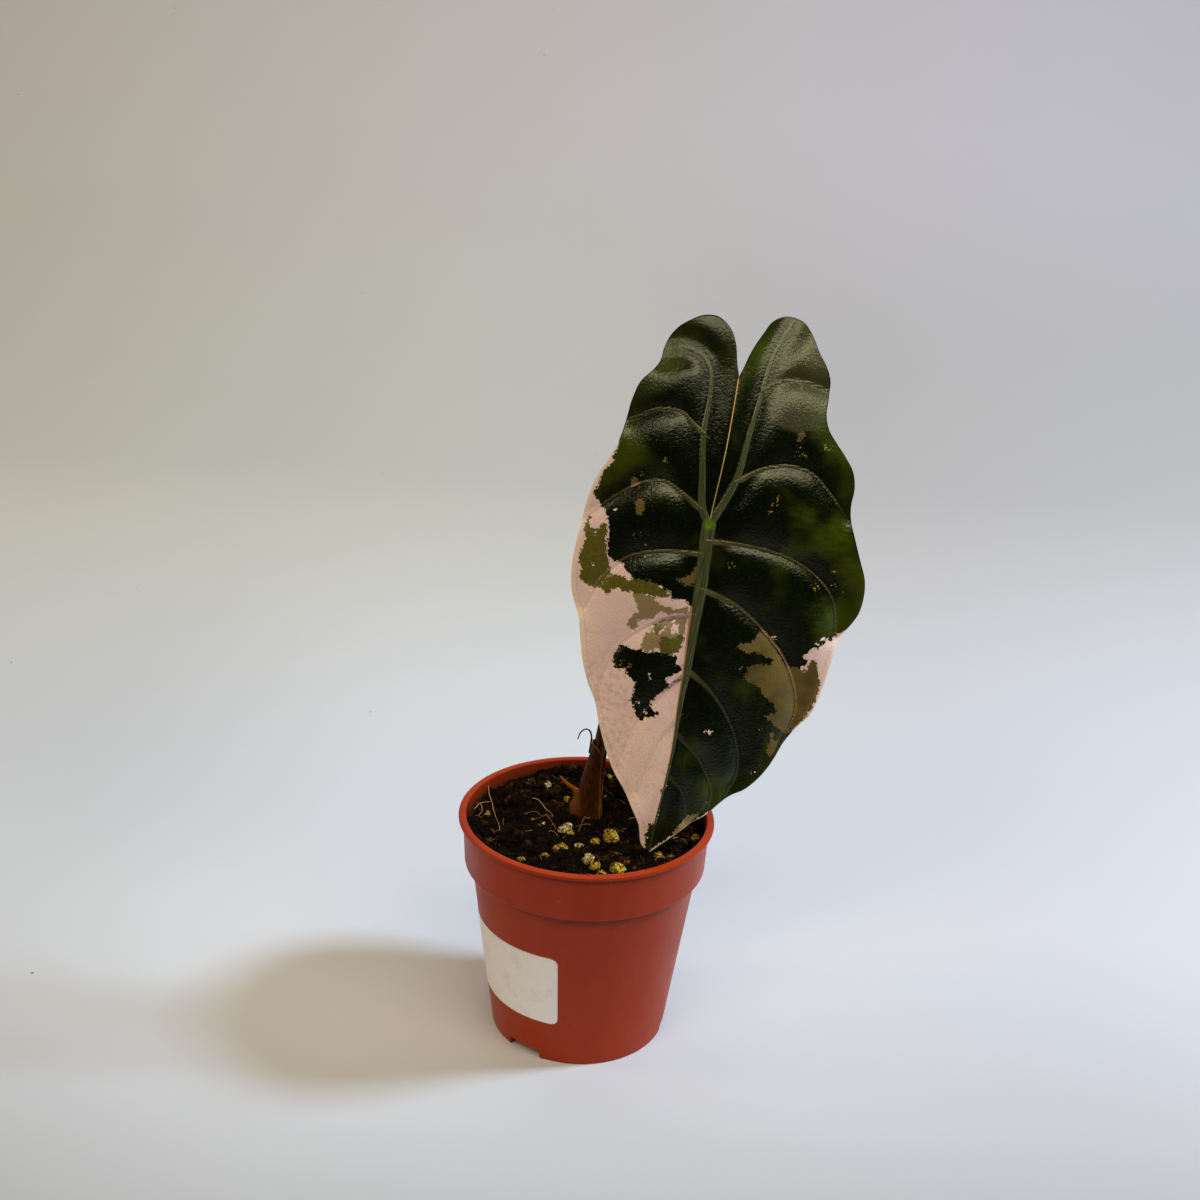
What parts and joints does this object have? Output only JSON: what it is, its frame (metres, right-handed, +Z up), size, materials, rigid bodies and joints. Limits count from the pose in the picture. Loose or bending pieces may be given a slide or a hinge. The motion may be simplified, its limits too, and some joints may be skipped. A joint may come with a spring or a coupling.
{
  "type": "potted alocasia plant",
  "caption": "Potted alocasia house plant: one large variegated shield-shaped leaf on a slim stalk, rooted in a filled tapered nursery pot with a rolled lip.",
  "frame": {"origin": "middle of the pot's foot, on the surface the pot stands on", "axes": "+Z up along the pot's axis, -Y the side the leaf faces, +X to the right seen from there"},
  "size_m": [0.1334, 0.09, 0.2582],
  "materials": {
    "pot": "satin",
    "label": "satin",
    "soil": "matte",
    "rootstock": "matte",
    "petiole": "satin",
    "sheath": "matte",
    "leaf": "satin"
  },
  "bodies": {
    "root": {"pot": "pot", "label": "label", "soil": "soil", "rootstock": "rootstock", "petiole": "petiole", "cataphyll": "sheath", "old_sheath": "sheath", "leaf_blade": "leaf"}
  },
  "joints": []
}
